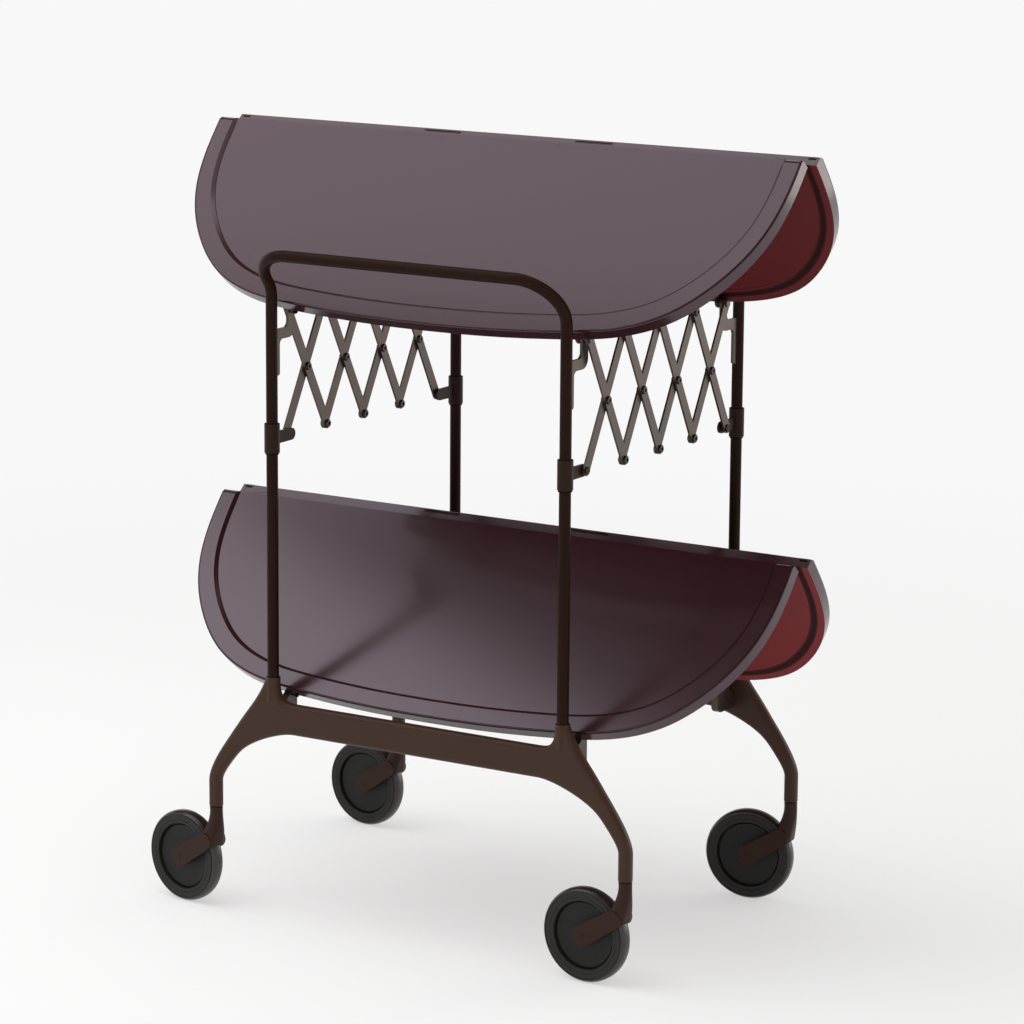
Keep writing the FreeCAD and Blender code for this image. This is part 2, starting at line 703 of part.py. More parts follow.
# castors
fork = castorFork()
tyre = castorTyre()
disc = castorDisc()
for corner, x, y in (("front_left", -castorX, -frameY), ("front_right", castorX, -frameY),
                     ("back_left", -castorX, frameY), ("back_right", castorX, frameY)):
    save(corner + "_fork", castorAt(fork, corner, x, y))
    save(corner + "_tyre", castorAt(tyre, corner, x, y))
    save(corner + "_wheel_disc", castorAt(disc, corner, x, y))
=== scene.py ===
import math

import bpy
import numpy as np
from mathutils import Matrix, Quaternion, Vector


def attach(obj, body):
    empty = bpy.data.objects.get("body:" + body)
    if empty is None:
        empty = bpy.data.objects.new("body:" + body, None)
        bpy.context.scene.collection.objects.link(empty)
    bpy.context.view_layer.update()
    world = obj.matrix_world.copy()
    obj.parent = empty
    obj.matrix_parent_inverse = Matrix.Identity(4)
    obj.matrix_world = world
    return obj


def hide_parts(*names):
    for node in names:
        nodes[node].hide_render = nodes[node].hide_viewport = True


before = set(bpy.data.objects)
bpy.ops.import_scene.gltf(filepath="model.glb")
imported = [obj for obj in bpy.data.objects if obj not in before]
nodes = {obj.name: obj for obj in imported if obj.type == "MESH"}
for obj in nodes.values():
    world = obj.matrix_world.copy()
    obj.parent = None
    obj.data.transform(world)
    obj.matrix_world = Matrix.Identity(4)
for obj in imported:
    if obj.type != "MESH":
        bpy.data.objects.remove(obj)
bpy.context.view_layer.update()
print("frame loaded")

# sizes are in millimetres unless a note says metres, and angles are in degrees
perMetre = 1000
rightAngle = 90
endWay = {"front": -1, "back": 1}  # the ends lie along Y
sideWay = {"left": -1, "right": 1}  # the sides lie along X
halves = [(level, end) for level in ("upper", "lower") for end in endWay]


# A wire is one socket in a material. Sums, products and powers of wires add Math nodes.
class Wire:
    def __init__(self, tree, socket=None):
        self.tree = tree
        self.socket = socket

    # Adds any node: its settings first, then the values or wires of its inputs, by name or by number.
    def make(self, kind, settings=None, inputs=None, output=0):
        node = self.tree.nodes.new(kind)
        for name, value in (settings or {}).items():
            setattr(node, name, value)
        for name, value in (inputs or {}).items():
            if isinstance(value, Wire):
                self.tree.links.new(value.socket, node.inputs[name])
            else:
                node.inputs[name].default_value = value
        return Wire(self.tree, node.outputs[output] if node.outputs else None)

    def maths(self, operation, first, second):
        return self.make("ShaderNodeMath", {"operation": operation}, {0: first, 1: second})

    def __add__(self, other):
        return self.maths("ADD", self, other)

    def __radd__(self, other):
        return self.maths("ADD", other, self)

    def __sub__(self, other):
        return self.maths("SUBTRACT", self, other)

    def __rsub__(self, other):
        return self.maths("SUBTRACT", other, self)

    def __mul__(self, other):
        return self.maths("MULTIPLY", self, other)

    def __rmul__(self, other):
        return self.maths("MULTIPLY", other, self)

    def __pow__(self, other):
        return self.maths("POWER", self, other)

    def __rpow__(self, other):
        return self.maths("POWER", other, self)


# the curve between a colour on screen and the light that it stands for
screenCurve = {"whole": 255, "darkest": 0.04045, "slope": 12.92, "shift": 0.055, "power": 2.4}


# A colour written as it looks on screen, as the linear numbers that a shader takes: (value + shift) over
# (1 + shift), to the power, and in the darkest part only the value over the slope.
def tone(code):
    values = np.array([int(code[i:i + 2], 16) for i in (1, 3, 5)]) / screenCurve["whole"]
    curved = ((values + screenCurve["shift"]) / (1 + screenCurve["shift"])) ** screenCurve["power"]
    linear = np.where(values > screenCurve["darkest"], curved, values / screenCurve["slope"])
    return (*linear.tolist(), 1.0)


# An empty material and a wire that stands for its node tree.
def newMaterial(name):
    material = bpy.data.materials.new(name)
    material.use_nodes = True
    material.node_tree.nodes.clear()
    return material, Wire(material.node_tree)


# Joins a finished shader to the material's output.
def closeMaterial(wire, surface):
    wire.make("ShaderNodeOutputMaterial", None, {"Surface": surface})


# Noise in Object coordinates, from 0 to 1, with finer layers on the first as the detail says.
def noise(wire, scale, detail):
    place = wire.make("ShaderNodeTexCoord", output="Object")
    return wire.make("ShaderNodeTexNoise", None, {"Vector": place, "Scale": scale, "Detail": detail})


# One shader. Colour: from dark to light as the broad noise goes from 0 to 1. Roughness: its own value
# plus the grain's distance from its middle, times the spread. Bump: the grain is the height.
def makeShader(wire, look, broad, grain):
    colour = wire.make("ShaderNodeMix", {"data_type": "RGBA"},
                       {"Factor": broad, "A": tone(look["dark"]), "B": tone(look["light"])}, "Result")
    roughness = look["rough"] + (grain - look["grainMiddle"]) * look["spread"]
    bump = wire.make("ShaderNodeBump", None,
                     {"Strength": look["bump"], "Distance": look["depth"], "Height": grain})
    return wire.make("ShaderNodeBsdfPrincipled", None, {
        "Base Color": colour, "Roughness": roughness, "Metallic": look["metal"], "Normal": bump,
        "Specular IOR Level": look["specular"], "Specular Tint": (*look["tint"], 1.0), "IOR": look["ior"]})


# A finish that is alike all over its piece: slow changes of tone, a grain in the gloss and a fine bump.
def makeFinish(name, look):
    material, wire = newMaterial(name)
    broad = noise(wire, look["patch"], look["patchDetail"])
    grain = noise(wire, look["grain"], look["grainDetail"])
    closeMaterial(wire, makeShader(wire, look, broad, grain))
    return material


# what a finish has unless its own entry says otherwise; patch and grain are per metre, depth is in metres
plainLook = {"patch": 25, "patchDetail": 2.0, "grain": 1200, "grainDetail": 4.0, "grainMiddle": 0.5,
             "rough": 0.5, "spread": 0.1, "bump": 0.1, "depth": 0.0001, "metal": 0.0, "specular": 0.25,
             "tint": (1.0, 1.0, 1.0), "ior": 1.5}
finishes = {
    "brown_tube": {"dark": "#25150f", "light": "#2a1913", "patch": 9, "grain": 900, "rough": 0.34,
                   "bump": 0.08, "specular": 0.05},
    "brown_casting": {"dark": "#3a261d", "light": "#432c22", "patch": 14, "grain": 700, "rough": 0.4,
                      "spread": 0.12, "bump": 0.12, "depth": 0.0002, "specular": 0.2},
    "seam_shadow": {"dark": "#1d0c0c", "light": "#241010", "patch": 40, "grain": 1100, "rough": 0.6,
                    "spread": 0.05, "bump": 0.04, "specular": 0.1},
    # painted shade: the channel colours are flat strips that stand for the shadow in the channel inside the
    # tray's lip
    "channel_deep_shade": {"dark": "#290d0f", "light": "#301113", "patch": 20, "grain": 900, "rough": 0.6,
                     "spread": 0.05, "bump": 0.04, "specular": 0.08},
    "channel_side_shade": {"dark": "#4a191b", "light": "#511e20", "patch": 20, "grain": 900, "rough": 0.6,
                     "spread": 0.05, "bump": 0.04, "specular": 0.08},
    "under_upper": {"dark": "#642527", "light": "#6d2a2c", "patch": 6, "grain": 1100,
                    "spread": 0.04, "bump": 0.03, "specular": 0.08, "ior": 1.45},
    # painted light: the lower trays' under colour is a lighter copy of the upper's, standing in for light
    # bounced up from the floor
    "under_lower": {"dark": "#7c3032", "light": "#853537", "patch": 6, "grain": 1100,
                    "spread": 0.04, "bump": 0.03, "specular": 0.08, "ior": 1.45},
    "deep_red": {"dark": "#5a2527", "light": "#63292b", "patch": 30, "grain": 900, "rough": 0.45,
                 "spread": 0.05, "bump": 0.04},
    "bronze_steel": {"dark": "#483c36", "light": "#534741", "patch": 30, "grain": 1500, "rough": 0.34,
                     "spread": 0.14, "bump": 0.06, "metal": 0.6, "specular": 0.5},
    "dark_steel": {"dark": "#1c1513", "light": "#241c19", "patch": 30, "grain": 1500, "rough": 0.32,
                   "bump": 0.06, "metal": 0.2, "specular": 0.5},
    "sleeve_plastic": {"dark": "#281913", "light": "#301f18", "patch": 20, "grain": 1300, "rough": 0.4,
                       "bump": 0.08, "specular": 0.1},
    "fork_plastic": {"dark": "#2e1c16", "light": "#36221b", "rough": 0.4, "specular": 0.15},
    "wheel_tyre": {"dark": "#222120", "light": "#292827", "spread": 0.12, "bump": 0.12, "depth": 0.0002},
    "wheel_tread": {"dark": "#1f1818", "light": "#282020", "rough": 0.3, "spread": 0.12, "depth": 0.0002,
                    "specular": 0.6},
    "wheel_disc": {"dark": "#161514", "light": "#1d1c1b", "depth": 0.0002},
}
materials = {name: makeFinish(name, {**plainLook, **look}) for name, look in finishes.items()}

# a tray half: drawn flat, with its distance from the hinge line, then hung at its ridge and tilted down
trayHalf = {"halfLength": 348.0, "depth": 226.0, "gap": 1.0, "tilt": 50.0,
            "ridge": {"upper": 802.775, "lower": 399.775}}

# the trays' plastic: glossy on top and round the side, matt and redder under the lip and below the floor,
# where its colours are those of the under finishes; the lower trays' under colours are lighter, painted light
# for the floor's bounce
panelLook = {"top": {"dark": "#2d1215", "light": "#331619", "rough": 0.18, "specular": 0.62,
                     "tint": (0.98, 0.87, 1.0), "ior": 1.56},
             "under": {"rough": 0.5, "specular": 0.14, "tint": (1.0, 0.8, 0.8), "ior": 1.45},
             "both": {"patch": 6, "grain": 1100, "grainDetail": 3.0, "spread": 0.04, "bump": 0.03},
             "lipHeight": 11.5, "floorHeight": 20.0, "ribWidth": 12.0, "inside": 0.885, "corner": 3}


# A panel's material mixes its two shaders by where a point lies in the flat half.
# Height: the point times the half's upward direction, less the ridge's height times the tilt's cosine.
# Away from the ridge: the point times the downhill direction, plus the ridge's height times the sine.
# The hollow: below the floor, past the rib, and with the cubes of both shares of the half's size adding
# up to less than a limit. The under shader shows in the hollow and on the lip, the top shader above.
def makePanel(level, end):
    material, wire = newMaterial("tray_panel_" + level + "_" + end)
    tilt = math.radians(trayHalf["tilt"])
    ridgeHeight = trayHalf["ridge"][level] / perMetre
    place = wire.make("ShaderNodeTexCoord", output="Object")

    def along(direction):
        return wire.make("ShaderNodeVectorMath", {"operation": "DOT_PRODUCT"},
                         {0: place, 1: direction}, "Value")

    def below(value, limit):
        return wire.maths("LESS_THAN", value, limit)

    height = along((0.0, endWay[end] * math.sin(tilt), math.cos(tilt))) - ridgeHeight * math.cos(tilt)
    away = along((0.0, endWay[end] * math.cos(tilt), -math.sin(tilt))) + ridgeHeight * math.sin(tilt)
    sideways = wire.make("ShaderNodeMath", {"operation": "ABSOLUTE"}, {0: along((1.0, 0.0, 0.0))})
    longShare = sideways * (perMetre / trayHalf["halfLength"])
    deepShare = away * (perMetre / (trayHalf["depth"] + trayHalf["gap"]))
    inside = longShare ** panelLook["corner"] + deepShare ** panelLook["corner"]
    pastRib = 1 - below(away, panelLook["ribWidth"] / perMetre)
    hollow = below(height, panelLook["floorHeight"] / perMetre) * below(inside, panelLook["inside"]) * pastRib
    lip = below(height, panelLook["lipHeight"] / perMetre)
    above = 1 - wire.maths("MAXIMUM", hollow, lip)
    look = {**plainLook, **finishes["under_" + level], **panelLook["both"]}
    broad = noise(wire, look["patch"], look["patchDetail"])
    grain = noise(wire, look["grain"], look["grainDetail"])
    under, top = (makeShader(wire, {**look, **panelLook[part]}, broad, grain) for part in ("under", "top"))
    closeMaterial(wire, wire.make("ShaderNodeMixShader", None, {0: above, 1: under, 2: top}))
    return material


for level, end in halves:
    materials["panel_" + level + "_" + end] = makePanel(level, end)
print("finishes made:", len(materials))

# which finish each CAD node takes, by a word in its name
nodeFinishes = {"tube": "brown_tube", "casting": "brown_casting", "upper_tray_front": "panel_upper_front",
                "upper_tray_back": "panel_upper_back", "lower_tray_front": "panel_lower_front",
                "lower_tray_back": "panel_lower_back", "ears": "dark_steel", "leaves": "deep_red",
                "pins": "dark_steel", "bracket": "bronze_steel", "sleeve": "sleeve_plastic",
                "bar": "bronze_steel", "fork": "fork_plastic", "tyre": "wheel_tyre", "disc": "wheel_disc"}
for nodeName, node in nodes.items():
    finish = next(finish for word, finish in nodeFinishes.items() if word in nodeName)
    node.data.materials.clear()
    node.data.materials.append(materials[finish])
print("nodes finished:", len(nodes))


# Triangles over a grid of points: each square between neighbouring rows and columns is split in two, and
# the last row or column joins the first where it closes.
def gridTriangles(rows, columns, rowsClose, columnsClose):
    down = np.arange(rows if rowsClose else rows - 1)
    along = np.arange(columns if columnsClose else columns - 1)
    i, j = np.meshgrid(down, along, indexing="ij")
    nextI, nextJ = (i + 1) % rows, (j + 1) % columns
    a, b, c, d = (i * columns + j, nextI * columns + j, nextI * columns + nextJ, i * columns + nextJ)
    return np.concatenate([np.stack([a, b, c], -1).reshape(-1, 3), np.stack([a, c, d], -1).reshape(-1, 3)])


mergeDigits = 7  # points that agree to this many decimals of a metre are one


# Merges points that coincide, drops triangles that have lost a corner, and turns the shell so that its
# faces point outward: the sum of each first corner times the cross product of the other two is above 0.
def closeShell(points, triangles):
    first, back = np.unique(np.round(points, mergeDigits), axis=0, return_index=True, return_inverse=True)[1:]
    triangles = back.reshape(-1)[triangles]
    points = points[first]
    kept = ((triangles[:, 0] != triangles[:, 1]) & (triangles[:, 1] != triangles[:, 2])
            & (triangles[:, 0] != triangles[:, 2]))
    triangles = triangles[kept]
    a, b, c = points[triangles[:, 0]], points[triangles[:, 1]], points[triangles[:, 2]]
    if np.einsum("ij,ij->", a, np.cross(b, c)) < 0:
        triangles = triangles[:, ::-1]
    return points, triangles


# edges sharper than this stay sharp, for each kind of piece
sharpAngle = {"turned": 28.0, "screw": 24.0, "strip": 32.0, "box": 30.0}


# Puts shells into one mesh object, with smooth faces. A shell is its points, its triangles and the number
# of its finish among the looks. The piece rides on the body and stands for the nodes that it hides.
def addPiece(name, shells, looks, body, kind, hides=()):
    points, triangles, marks = [], [], []
    count = 0
    for shellPoints, shellTriangles, mark in shells:
        shellPoints, shellTriangles = closeShell(shellPoints, shellTriangles)
        points.append(shellPoints)
        triangles.append(shellTriangles + count)
        marks.append(np.full(len(shellTriangles), mark))
        count += len(shellPoints)
    points, triangles, marks = np.concatenate(points), np.concatenate(triangles), np.concatenate(marks)
    mesh = bpy.data.meshes.new(name)
    mesh.vertices.add(len(points))
    mesh.vertices.foreach_set("co", points.astype(np.float32).ravel())
    mesh.loops.add(triangles.size)
    mesh.loops.foreach_set("vertex_index", triangles.astype(np.int32).ravel())
    mesh.polygons.add(len(triangles))
    mesh.polygons.foreach_set("loop_start", np.arange(0, triangles.size, 3, dtype=np.int32))
    for look in looks:
        mesh.materials.append(materials[look])
    mesh.polygons.foreach_set("material_index", marks.astype(np.int32))
    mesh.polygons.foreach_set("use_smooth", np.ones(len(triangles), dtype=bool))
    mesh.update(calc_edges=True)
    mesh.validate()
    mesh.set_sharp_from_angle(angle=math.radians(sharpAngle[kind]))
    piece = bpy.data.objects.new(name, mesh)
    bpy.context.scene.collection.objects.link(piece)
    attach(piece, body)
    if hides:
        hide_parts(*hides)


# A profile of (radius, place along the axle) turned about the wheel's axle, which lies along Y: X is the
# radius times the turn's cosine, Z the radius times its sine.
def turnedAboutAxle(profile, steps, centre):
    turn = np.linspace(0, 2 * math.pi, steps, endpoint=False)
    radius, along = np.array(profile).T
    across = centre[0] + np.cos(turn)[:, None] * radius
    rise = centre[2] + np.sin(turn)[:, None] * radius
    grid = np.stack(np.broadcast_arrays(across, along[None, :] + centre[1], rise), -1)
    return grid.reshape(-1, 3), gridTriangles(steps, len(profile), True, True)


# The profile that looks one way along the axle: its places times 1 or minus 1.
def facing(profile, way):
    return [(radius, way * along) for radius, along in profile]


# wheels, in the castor's own frame: the swivel axis is the origin and the wheel trails toward minus X;
# the tread and the disc are half profiles, on one side of the wheel's middle plane
wheel = {"radius": 48.75, "trail": 45.0, "castorX": 249.0, "castorY": 173.661, "steps": 128,
         "yaw": {"front_left": -9.0, "front_right": -3.0, "back_left": -5.0, "back_right": 8.0},
         "face": [(35.1, 1.6), (35.1, 6.6), (35.7, 7.45), (38.4, 7.7), (38.8, 7.4), (39.3, 7.4),
                  (39.7, 7.8), (44.3, 7.9), (44.7, 7.5), (44.7, 1.6)],
         "tread": [(44.7, 7.5), (44.75, 6.7), (45.3, 6.6), (45.5, 7.5), (46.3, 7.35), (47.2, 6.6),
                   (48.0, 5.3), (48.5, 3.7), (48.75, 1.8)],
         "core": [(35.1, -2.0), (44.7, -2.0), (44.7, 2.0), (35.1, 2.0)],
         "disc": [(3.6, 8.3), (9.2, 8.3), (9.8, 7.9), (9.9, 4.6), (10.6, 3.9), (16.0, 3.5), (25.0, 3.6),
                  (31.5, 3.9), (32.6, 4.3), (33.2, 4.2), (33.5, 3.2), (33.6, 1.6), (35.1, 1.6)]}


# Castor coordinates turned by the castor's yaw about its swivel axis and moved to its corner, in metres.
def toCorner(points, corner):
    end, side = corner.split("_")
    yaw = math.radians(wheel["yaw"][corner])
    x = points[:, 0] * math.cos(yaw) - points[:, 1] * math.sin(yaw)
    y = points[:, 0] * math.sin(yaw) + points[:, 1] * math.cos(yaw)
    place = np.array([sideWay[side] * wheel["castorX"], endWay[end] * wheel["castorY"], 0])
    return (np.stack([x, y, points[:, 2]], -1) + place) / perMetre


# A profile turned about one castor's axle, as a shell.
def turnedAtCorner(profile, steps, corner, mark=0):
    points, triangles = turnedAboutAxle(profile, steps, (-wheel["trail"], 0.0, wheel["radius"]))
    return toCorner(points, corner), triangles, mark


# Half a profile and its mirror across the wheel's middle plane, as one closed loop.
def mirroredProfile(half):
    return facing(half, -1) + half[::-1]


# A tyre is two face rings, the tread between them and a core. The disc is one profile and its mirror.
def makeWheels():
    for corner in wheel["yaw"]:
        shells = [turnedAtCorner(facing(wheel["face"], way), wheel["steps"], corner) for way in (-1, 1)]
        shells.append(turnedAtCorner(mirroredProfile(wheel["tread"]), wheel["steps"], corner, 1))
        shells.append(turnedAtCorner(wheel["core"], wheel["steps"], corner))
        addPiece(corner + "_tyre_turned", shells, ["wheel_tyre", "wheel_tread"], corner + "_wheel",
                 "turned", [corner + "_tyre"])
        disc = turnedAtCorner(mirroredProfile(wheel["disc"]), wheel["steps"], corner)
        addPiece(corner + "_disc_turned", [disc], ["wheel_disc"], corner + "_wheel",
                 "turned", [corner + "_wheel_disc"])


makeWheels()
print("wheels made")

# screw heads: the crown's rows are shares of the edge's rounding, inward from the radius and down from
# the rise
headShape = {"crown": ((0.0, 1.6), (0.4, 0.7), (1.3, 0.15)), "socketRim": 0.3, "socketSides": 6}


# A round button with a six-sided socket, as rows from the middle of the back face, round the edge and over
# the crown, down the socket to its floor. The socket's rows follow a hexagon: radius = half width / cosine
# of the angle to the nearest side's middle. The columns are two places across the head and the height.
def screwHead(size):
    turn = np.linspace(0, 2 * math.pi, size["steps"], endpoint=False)
    sector = 2 * math.pi / headShape["socketSides"]
    nearest = (turn + sector / 2) % sector - sector / 2
    hexagon = size["socket"] * math.cos(sector / 2) / np.cos(nearest)
    even = np.ones_like(turn)
    radius, edge, rise = size["radius"], size["edge"], size["rise"]
    floor = rise - size["socketDepth"]
    rows = [(0 * even, -size["sink"]), (radius * even, -size["sink"])]
    rows += [((radius - edge * inward) * even, rise - edge * down) for inward, down in headShape["crown"]]
    rows += [((size["socket"] + headShape["socketRim"]) * even, rise), (hexagon, rise), (hexagon, floor),
             (0 * even, floor)]
    radii = np.stack([row[0] for row in rows], -1)
    heights = np.broadcast_to([row[1] for row in rows], radii.shape)
    grid = np.stack([np.cos(turn)[:, None] * radii, np.sin(turn)[:, None] * radii, heights], -1)
    return grid.reshape(-1, 3), gridTriangles(size["steps"], len(rows), True, False)


# A head on a face that looks along X, either way, as a shell.
def headOnSide(size, x, y, z, way):
    points, triangles = screwHead(size)
    return points[:, [2, 0, 1]] * (way, 1, 1) / perMetre + np.array([x, y, z]) / perMetre, triangles, 0


# lattice screws: the bars' end pins lie at two heights, from the front column to the back one
rivet = {"radius": 4.3, "rise": 2.3, "sink": 0.3, "edge": 0.6, "socket": 2.0, "socketDepth": 1.2, "steps": 36,
         "cells": 4, "pivotY": 140.361, "top": 642.5, "low": 511.5, "outer": 182.4, "span": 360.0}


# Each falling bar carries the screw at its middle and those at its ends that are inside the lattice. The
# cells share the way between the outer columns evenly. The heads look along plus X on both sides.
def makeScrews():
    pitch = 2 * rivet["pivotY"] / rivet["cells"]
    middle = (rivet["top"] + rivet["low"]) / 2
    for side, x in (("right", rivet["outer"]), ("left", rivet["outer"] - rivet["span"])):
        for cell in range(rivet["cells"]):
            start = -rivet["pivotY"] + cell * pitch
            places = [(start + pitch / 2, middle)]
            if cell > 0:
                places.append((start, rivet["top"]))
            if cell < rivet["cells"] - 1:
                places.append((start + pitch, rivet["low"]))
            heads = [headOnSide(rivet, x, y, z, 1) for y, z in places]
            addPiece(side + "_screws_" + str(cell + 1), heads, ["dark_steel"],
                     side + "_falling_" + str(cell + 1), "screw")


# ends of the axles, riveted over the fork's arms
axleEnd = {"profile": [(0.0, 11.8), (3.3, 11.8), (3.3, 12.2), (3.0, 12.45), (1.2, 12.45), (0.9, 12.25),
                       (0.0, 12.25)], "steps": 48}


# Both ends of each castor's axle: one profile, facing outward on each side.
def makeAxleEnds():
    for corner in wheel["yaw"]:
        shells = [turnedAtCorner(facing(axleEnd["profile"], way), axleEnd["steps"], corner)
                  for way in (-1, 1)]
        addPiece(corner + "_axle_ends", shells, ["fork_plastic"], corner + "_castor",
                 "turned")


# painted shade: dark rings that stand for the shadow where each sleeve meets its upright
sleeveRing = {"profile": [(5.9, 0.0), (7.2, 0.0), (7.2, 0.25), (6.6, 0.5), (5.9, 0.5)], "steps": 48,
              "low": 495.75, "high": 527.25, "uprightX": 175.0}


# A ring below and one above each sleeve: the profile turned about an axle along Y, then stood upright.
def makeSleeveShadeRings():
    for end in endWay:
        for side in sideWay:
            x, y = sideWay[side] * sleeveRing["uprightX"], endWay[end] * wheel["castorY"]
            shells = []
            for height, way in ((sleeveRing["low"], -1), (sleeveRing["high"], 1)):
                profile = facing(sleeveRing["profile"], way)
                points, triangles = turnedAboutAxle(profile, sleeveRing["steps"], (0, 0, 0))
                shells.append(((points[:, [0, 2, 1]] + (x, y, height)) / perMetre, triangles, 0))
            addPiece(end + "_" + side + "_sleeve_shade_rings", shells, ["seam_shadow"],
                     side + "_" + end + "_slider", "turned")


makeScrews()
makeAxleEnds()
makeSleeveShadeRings()
print("screws made")

# dark lines and channels of painted shade along a tray's edge, flat. The outline's points are shares of the
# half length and of the depth.
# A seam is its inset, its height, its radius and the distance from the hinge line at which it starts.
# A channel is its outer and inner inset, the heights there and the number of its finish.
tray = {"outline": [(1.0, 0.0), (0.997, 0.2), (0.977, 0.385), (0.938, 0.535), (0.87, 0.69), (0.765, 0.838),
                    (0.611, 0.935), (0.44, 0.972), (0.22, 0.994), (0.0, 1.0)], "samples": 260,
        "shadeSeams": [(0.5, 25.05, 0.36, 2.0), (21.4, 22.7, 0.34, 7.0)], "beadSides": 10,
        "channels": [(7.2, 8.6, 11.1, 11.1, 1), (8.6, 13.2, 11.1, 11.1, 0), (13.2, 15.0, 11.1, 11.1, 1),
                     (15.0, 48.0, 11.1, 17.6, 2)], "thickness": 0.5}


# The outline, inset, from the right end round to the left: its points joined by a natural cubic spline over
# the lengths of the chords, as in the solid. The bends solve: gap before x bend before + 2 x both gaps x
# bend + gap after x bend after = 6 x the change of slope, with no bend at the two ends. In a gap, each end's
# bend counts by the cube of the way from the other end, and the rest is a straight line.
def trayEdge(inset):
    right = np.array(tray["outline"])
    points = np.concatenate([right, right[-2::-1] * (-1, 1)])
    points = points * (trayHalf["halfLength"] - inset, trayHalf["depth"] - inset)
    steps = np.concatenate([[0], np.cumsum(np.linalg.norm(np.diff(points, axis=0), axis=1))])
    gaps = np.diff(steps)
    count = len(points)
    system = np.zeros((count, count))
    known = np.zeros((count, 2))
    system[0, 0] = system[-1, -1] = 1
    rows = np.arange(1, count - 1)
    system[rows, rows - 1] = gaps[:-1]
    system[rows, rows] = 2 * (gaps[:-1] + gaps[1:])
    system[rows, rows + 1] = gaps[1:]
    slopes = np.diff(points, axis=0) / gaps[:, None]
    known[1:-1] = 6 * np.diff(slopes, axis=0)
    bend = np.linalg.solve(system, known)
    where = np.linspace(0, steps[-1], tray["samples"])
    i = np.clip(np.searchsorted(steps, where, side="right") - 1, 0, count - 2)
    gap, done = gaps[i][:, None], (where - steps[i])[:, None]
    left = gap - done
    curved = (bend[i] * left ** 3 + bend[i + 1] * done ** 3) / (6 * gap)
    straight = (points[i] / gap - bend[i] * gap / 6) * left
    return curved + straight + (points[i + 1] / gap - bend[i + 1] * gap / 6) * done + (0, trayHalf["gap"])


# Flat coordinates (x, distance from the hinge line, height) to metres in the trolley's frame: the half is
# turned down by the tilt about the hinge line, which lies at the ridge's height.
def hang(points, level, end):
    tilt = math.radians(trayHalf["tilt"])
    x, away, rise = points[:, 0], points[:, 1], points[:, 2]
    y = endWay[end] * (away * math.cos(tilt) + rise * math.sin(tilt))
    z = trayHalf["ridge"][level] - away * math.sin(tilt) + rise * math.cos(tilt)
    return np.stack([x, y, z], -1) / perMetre


# Rings of points in a row, closed at both ends by a point in the middle of each.
def closedRow(rings, middles):
    caps = [np.broadcast_to(middle, (1, *rings.shape[1:])) for middle in (middles[0], middles[-1])]
    grid = np.concatenate([caps[0], rings, caps[1]])
    return grid.reshape(-1, 3), gridTriangles(len(grid), rings.shape[1], False, True)


# A round bead carried along a flat path at one height: path + radius x (cosine of the turn, outward, and
# its sine, upward), where outward is the path's own direction turned by a right angle.
def beadAlong(path, height, radius):
    tangent = np.gradient(path, axis=0)
    tangent /= np.linalg.norm(tangent, axis=1)[:, None]
    outward = np.stack([-tangent[:, 1], tangent[:, 0]], -1)
    turn = np.linspace(0, 2 * math.pi, tray["beadSides"], endpoint=False)
    ring = path[:, None, :] + outward[:, None, :] * (radius * np.cos(turn))[None, :, None]
    rise = np.broadcast_to(height + radius * np.sin(turn)[None, :], ring.shape[:2])
    middles = np.concatenate([path, np.full((len(path), 1), height)], -1)
    return closedRow(np.concatenate([ring, rise[..., None]], -1), middles)


# Two beads of painted shade on each half: dark lines that stand for the shadow in the rim's parting line and
# in the groove round the floor.
def makeShadeSeams():
    for level, end in halves:
        shells = []
        for inset, height, radius, start in tray["shadeSeams"]:
            path = trayEdge(inset)
            points, triangles = beadAlong(path[path[:, 1] > start], height, radius)
            shells.append((hang(points, level, end), triangles, 0))
        addPiece(level + "_" + end + "_seam_shade", shells, ["seam_shadow"], level + "_" + end + "_half",
                 "strip")


# A thin strip under the tray between two insets of the outline, each at its own height: four corners go
# along the edge, the two lower ones and the same raised by the thickness.
def ribbon(outer, inner, outerHeight, innerHeight):
    first, second, thickness = trayEdge(outer), trayEdge(inner), tray["thickness"]
    corners = [(first, outerHeight), (second, innerHeight), (second, innerHeight + thickness),
               (first, outerHeight + thickness)]
    rings = np.stack([np.concatenate([path, np.full((len(path), 1), height)], -1)
                      for path, height in corners], 1)
    return closedRow(rings, rings.mean(axis=1))


# Painted shade: a flat dark strip inside the lip stands for the channel in shadow, lighter strips at its two
# sides soften it, and the slope up to the floor takes the under colour, on each half.
def makeChannels():
    for level, end in halves:
        shells = []
        for outer, inner, outerHeight, innerHeight, mark in tray["channels"]:
            points, triangles = ribbon(outer, inner, outerHeight, innerHeight)
            shells.append((hang(points, level, end), triangles, mark))
        addPiece(level + "_" + end + "_channel", shells, ["channel_deep_shade", "channel_side_shade", "under_" + level],
                 level + "_" + end + "_half", "strip")


makeShadeSeams()
makeChannels()
print("tray seams made")

# soft boxes: how many points go round one, and the power that squares its rings
boxShape = {"sides": 24, "power": 0.28}


# A soft box between two corners: squared rings (the power of the cosine and sine, with their signs) stacked
# from the bottom to the top, the lowest and highest ones cut back, each closed to its middle.
def softBox(low, high, cut):
    low, high = np.array(low, float), np.array(high, float)
    turn = (np.arange(boxShape["sides"]) + 0.5) * 2 * math.pi / boxShape["sides"]
    squareX = np.sign(np.cos(turn)) * np.abs(np.cos(turn)) ** boxShape["power"]
    squareY = np.sign(np.sin(turn)) * np.abs(np.sin(turn)) ** boxShape["power"]
    middle, half = (low + high) / 2, (high - low) / 2
    share = cut / half[2]
    rings = []
    for level, size in ((-1, half - cut), (-1 + share, half), (1 - share, half), (1, half - cut)):
        rings.append(np.stack([middle[0] + squareX * size[0], middle[1] + squareY * size[1],
                               np.full(len(turn), middle[2] + half[2] * level)], -1))
    return closedRow(np.stack(rings), [middle - (0, 0, half[2]), middle + (0, 0, half[2])])
